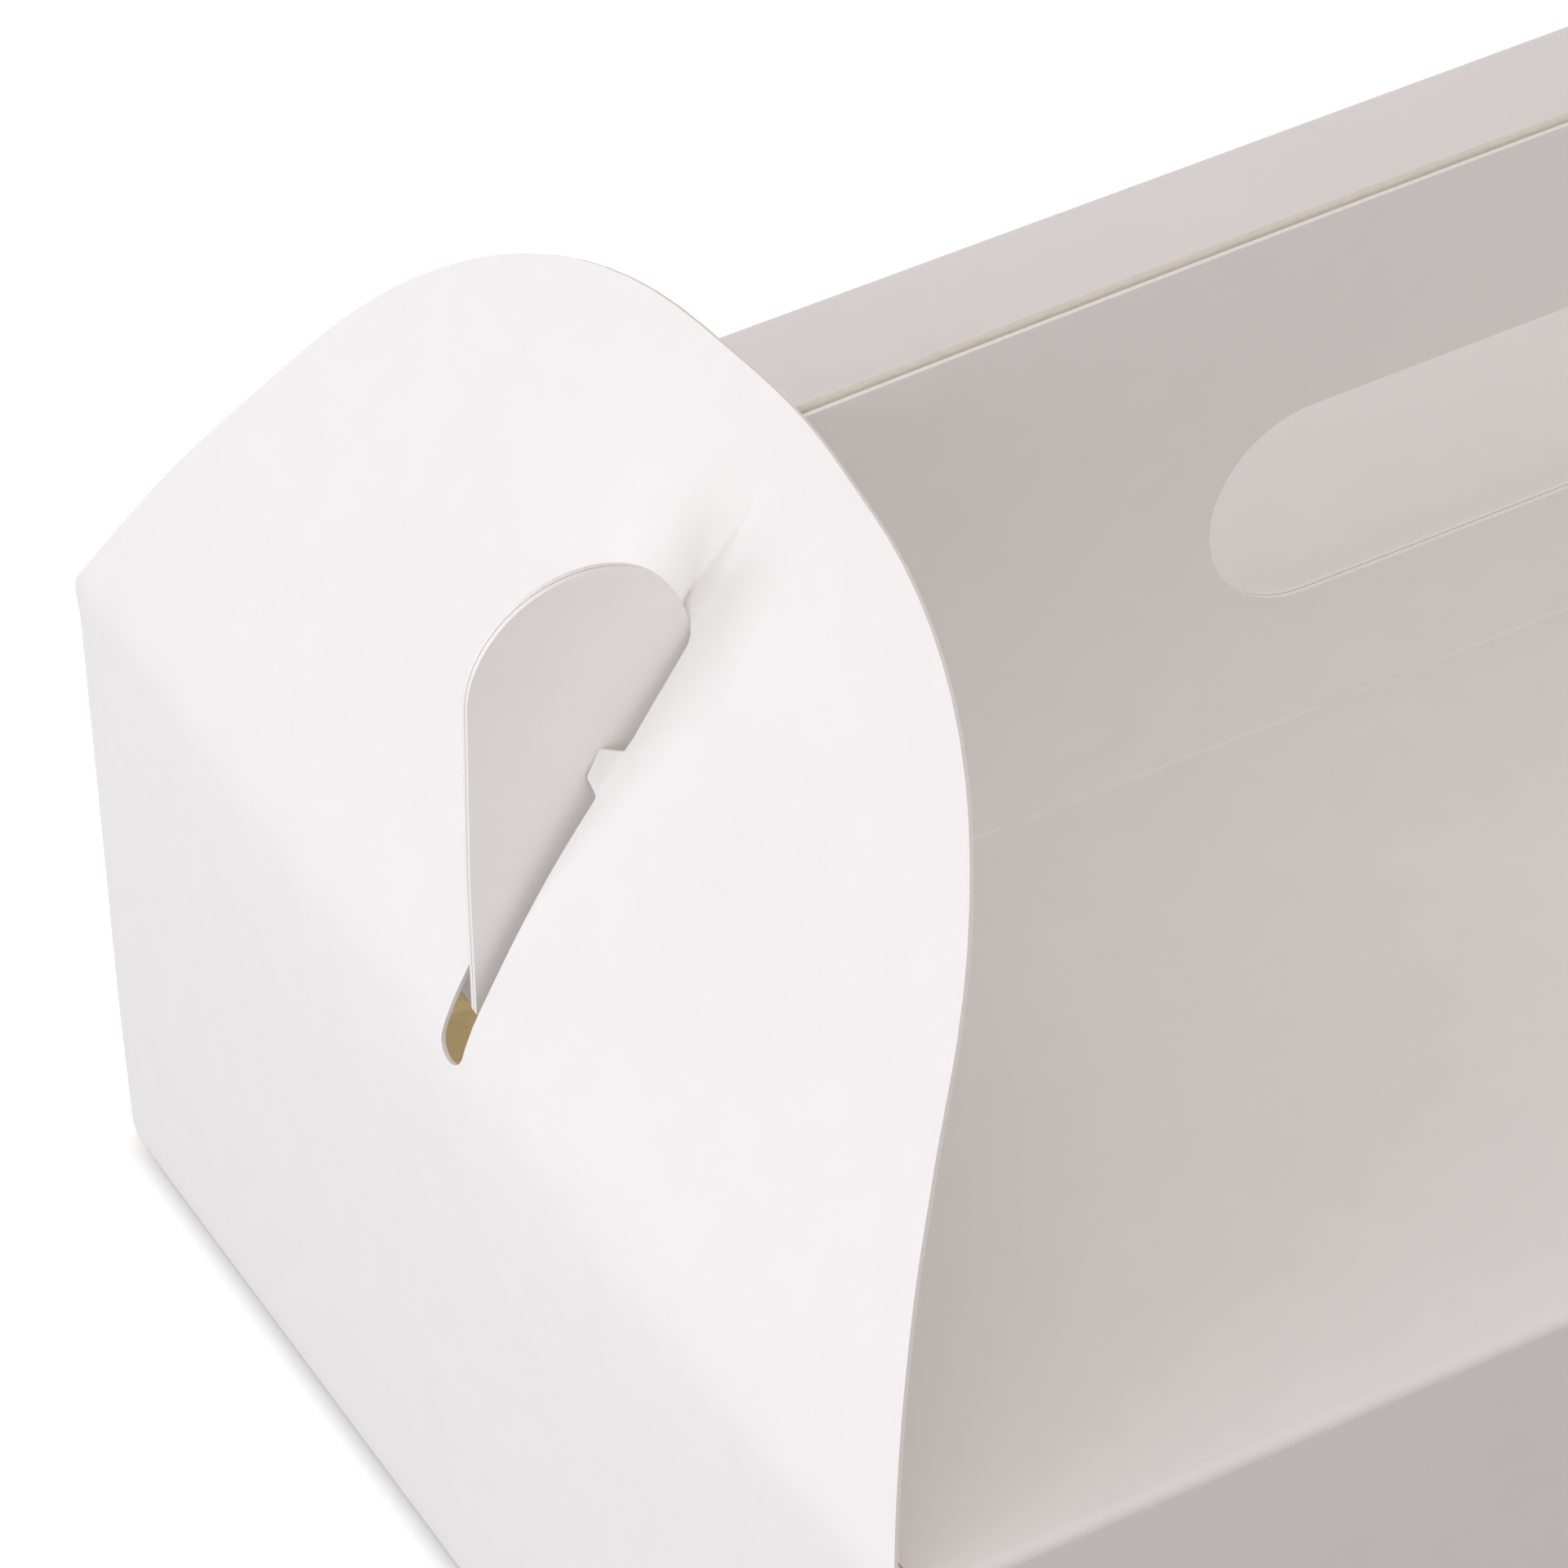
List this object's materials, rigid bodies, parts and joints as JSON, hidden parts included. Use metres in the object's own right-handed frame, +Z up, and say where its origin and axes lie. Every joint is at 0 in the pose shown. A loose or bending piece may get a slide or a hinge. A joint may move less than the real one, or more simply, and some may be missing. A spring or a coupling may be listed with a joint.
{
  "type": "pastry box with handle",
  "caption": "Folded white board box for pastries, with an upright handle on its roof and end flaps that hook onto the handle's tabs.",
  "frame": {"origin": "middle of the underside, which rests on the table", "axes": "+X along the handle, +Y across it, +Z up"},
  "size_m": [0.2354, 0.16, 0.141],
  "materials": {
    "white_board": "satin coated outside, bare inside"
  },
  "bodies": {
    "box": {"carton": "white_board"},
    "left_flap": {"end_flap_left": "white_board"},
    "right_flap": {"end_flap_right": "white_board"}
  },
  "joints": [
    {"name": "left_flap_fold", "type": "hinge", "parent": "box", "child": "left_flap", "pos_m": [-0.1175, 0, 0.078], "axis": [0, -1, 0], "range_deg": [0, 175]},
    {"name": "right_flap_fold", "type": "hinge", "parent": "box", "child": "right_flap", "pos_m": [0.1175, 0, 0.078], "axis": [0, 1, 0], "range_deg": [0, 175]}
  ]
}
